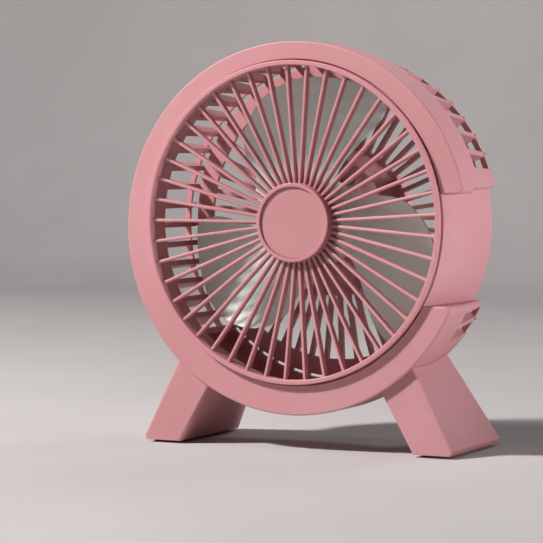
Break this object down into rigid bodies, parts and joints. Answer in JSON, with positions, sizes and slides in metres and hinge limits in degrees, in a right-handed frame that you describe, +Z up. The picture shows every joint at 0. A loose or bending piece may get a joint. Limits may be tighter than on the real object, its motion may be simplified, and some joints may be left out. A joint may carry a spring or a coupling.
{
  "type": "portable camping fan",
  "caption": "Round drum desk fan with a radial-spoke grille, three broad blades, side vents, a rear battery pod and two splayed box legs.",
  "frame": {"origin": "on the supporting plane, under the middle of the drum and half way along its depth", "axes": "+X right in a front view, +Y from the front grille to the back, +Z up"},
  "size_m": [0.2073, 0.0842, 0.2301],
  "materials": {
    "shell": "fine-grained matte moulded plastic, dusty pink",
    "grille": "satin moulded plastic, dusty pink",
    "button": "satin moulded plastic, light pink",
    "blade": "pale grey-white satin plastic",
    "pad": "matte rubber",
    "screw": "zinc plated",
    "steel": "turned steel",
    "motor_metal": "die cast",
    "magnet": "sintered magnet",
    "copper": "enamelled copper wire",
    "board": "glass-fibre circuit board, density stood in by plastic",
    "dark_plastic": "black plastic",
    "port_metal": "drawn steel shell",
    "lens": "clear to milky light pipe",
    "cell_sleeve": "shrink-sleeved cylindrical cell, mean density close to aluminium's"
  },
  "bodies": {
    "housing": {"front_bezel": "shell", "rear_shell": "shell", "recess_panel": "shell", "front_grille": "grille", "hub_cap": "shell", "rear_guard": "grille", "motor_pod": "shell", "pod_cover": "shell", "pod_screws": "screw", "shell_screws": "screw", "leg_screws": "screw", "base_screws": "screw", "leg_right": "shell", "leg_left": "shell", "base_plate_right": "shell", "base_plate_left": "shell", "foot_pad_right": "pad", "foot_pad_left": "pad", "main_board": "board", "tact_switch": "dark_plastic", "usb_c_port": "port_metal", "light_pipes": "lens", "cell_upper": "cell_sleeve", "cell_lower": "cell_sleeve", "cell_tray": "dark_plastic", "motor_base": "motor_metal", "motor_screws": "screw", "bearing_front": "steel", "bearing_rear": "steel", "stator_core": "steel", "stator_coils": "copper", "driver_board": "board"},
    "impeller": {"impeller": "blade", "rotor_bell": "steel", "magnet_ring": "magnet", "motor_shaft": "steel", "shaft_clip": "steel", "rotor_nut": "steel"},
    "power_button": {"power_button": "button"}
  },
  "joints": [
    {"name": "impeller_spin", "type": "hinge", "parent": "housing", "child": "impeller", "pos_m": [0, -0.006, 0.1285], "axis": [0, 1, 0], "continuous": true},
    {"name": "power_button_press", "type": "slide", "parent": "housing", "child": "power_button", "axis": [0, -1, 0], "range_m": [0, 0.0008], "stiffness_N_per_m": 900, "springref_m": -0.0008}
  ]
}
